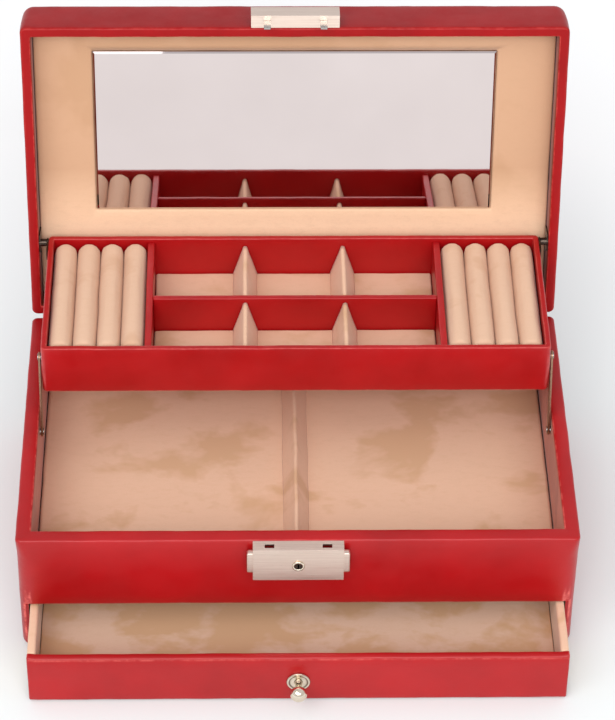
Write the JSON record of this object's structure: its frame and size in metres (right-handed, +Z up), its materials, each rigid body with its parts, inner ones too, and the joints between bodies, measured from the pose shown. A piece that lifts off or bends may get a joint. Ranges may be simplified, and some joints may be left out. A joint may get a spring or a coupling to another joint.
{
  "type": "jewellery case",
  "caption": "Leather-covered jewellery case with a hinged mirror lid, a tray that rises with the lid, an open compartment and a front drawer.",
  "frame": {"origin": "middle of the underside of the base, on the surface that the case stands on", "axes": "+Z up, +X to the right seen from the front, -Y towards the front with the drawer and lock"},
  "size_m": [0.27, 0.2694, 0.2416],
  "materials": {
    "red_leather": "smooth fine-grained leather with a low sheen",
    "suede": "brushed suede-like fabric, mottled",
    "roll_suede": "padded suede-like fabric",
    "board": "grey board and thin fibreboard",
    "foam": "thin padding foam",
    "felt": "flat felt",
    "brushed_nickel": "brushed warm nickel",
    "polished_nickel": "polished pale gold nickel",
    "steel": "plain steel",
    "mirror_glass": "silvered glass"
  },
  "bodies": {
    "base": {"base_felt": "felt", "base_bottom": "board", "base_side_left": "board", "base_side_right": "board", "base_back": "board", "base_front_panel": "board", "drawer_shelf": "board", "compartment_frame": "board", "compartment_lining": "suede", "compartment_floor": "suede", "compartment_ridge": "suede", "base_leather": "red_leather", "hinge_leaf_base": "brushed_nickel", "hinge_pin": "steel", "base_arm_studs": "steel", "lock_case": "brushed_nickel", "key_escutcheon": "polished_nickel"},
    "drawer": {"drawer_front_board": "board", "drawer_front_leather": "red_leather", "drawer_side_left": "suede", "drawer_side_right": "suede", "drawer_back": "suede", "drawer_bottom": "board", "drawer_pad": "suede", "knob_rosette": "polished_nickel", "drawer_knob": "polished_nickel", "knob_screw": "steel"},
    "lid": {"lid_board": "board", "lid_foam": "foam", "lid_side_left": "board", "lid_side_right": "board", "lid_front": "board", "lid_back": "board", "lid_lining": "suede", "lid_leather": "red_leather", "lid_panel": "suede", "mirror": "mirror_glass", "hinge_leaf_lid": "brushed_nickel", "lid_brackets": "steel", "hasp_plate": "brushed_nickel", "hasp_claws": "steel"},
    "tray": {"tray_side_left": "red_leather", "tray_side_right": "red_leather", "tray_front": "red_leather", "tray_back": "red_leather", "tray_bottom": "red_leather", "tray_partition_left": "red_leather", "tray_partition_right": "red_leather", "tray_cross_partition": "red_leather", "tray_floors": "suede", "tray_ridges": "suede", "ring_rolls_left": "roll_suede", "ring_rolls_right": "roll_suede", "tray_arm_studs": "steel", "tray_ears": "steel"},
    "arm_left": {"arm_left": "brushed_nickel"},
    "arm_right": {"arm_right": "brushed_nickel"},
    "release_tab_left": {"release_tab_left": "brushed_nickel"},
    "release_tab_right": {"release_tab_right": "brushed_nickel"},
    "key_rotor": {"key_rotor": "polished_nickel"}
  },
  "joints": [
    {"name": "lid_hinge", "type": "hinge", "parent": "base", "child": "lid", "pos_m": [0, 0.082, 0.0743], "axis": [1, 0, 0], "range_deg": [0, 100]},
    {"name": "arm_left_swing", "type": "hinge", "parent": "base", "child": "arm_left", "pos_m": [-0.1264, 0.004, 0.0655], "axis": [1, 0, 0], "range_deg": [0, 100]},
    {"name": "arm_right_swing", "type": "hinge", "parent": "base", "child": "arm_right", "pos_m": [0.1264, 0.004, 0.0655], "axis": [1, 0, 0], "range_deg": [0, 100]},
    {"name": "tray_level", "type": "hinge", "parent": "arm_left", "child": "tray", "pos_m": [-0.1264, 0.01465, 0.10576], "axis": [1, 0, 0], "range_deg": [-100, 0]},
    {"name": "drawer_slide", "type": "slide", "parent": "base", "child": "drawer", "axis": [0, -1, 0], "range_m": [-0.0352, 0.08]},
    {"name": "release_left", "type": "slide", "parent": "base", "child": "release_tab_left", "axis": [1, 0, 0], "range_m": [0, 0.0025], "stiffness_N_per_m": 300, "springref_m": -0.001},
    {"name": "release_right", "type": "slide", "parent": "base", "child": "release_tab_right", "axis": [-1, 0, 0], "range_m": [0, 0.0025], "stiffness_N_per_m": 300, "springref_m": -0.001},
    {"name": "key_turn", "type": "hinge", "parent": "base", "child": "key_rotor", "pos_m": [0, -0.085, 0.0632], "axis": [0, -1, 0], "range_deg": [0, 90]}
  ],
  "couplings": [
    {"joint": "arm_left_swing", "follows": "lid_hinge", "ratio": 1},
    {"joint": "arm_right_swing", "follows": "lid_hinge", "ratio": 1},
    {"joint": "tray_level", "follows": "lid_hinge", "ratio": -1}
  ]
}
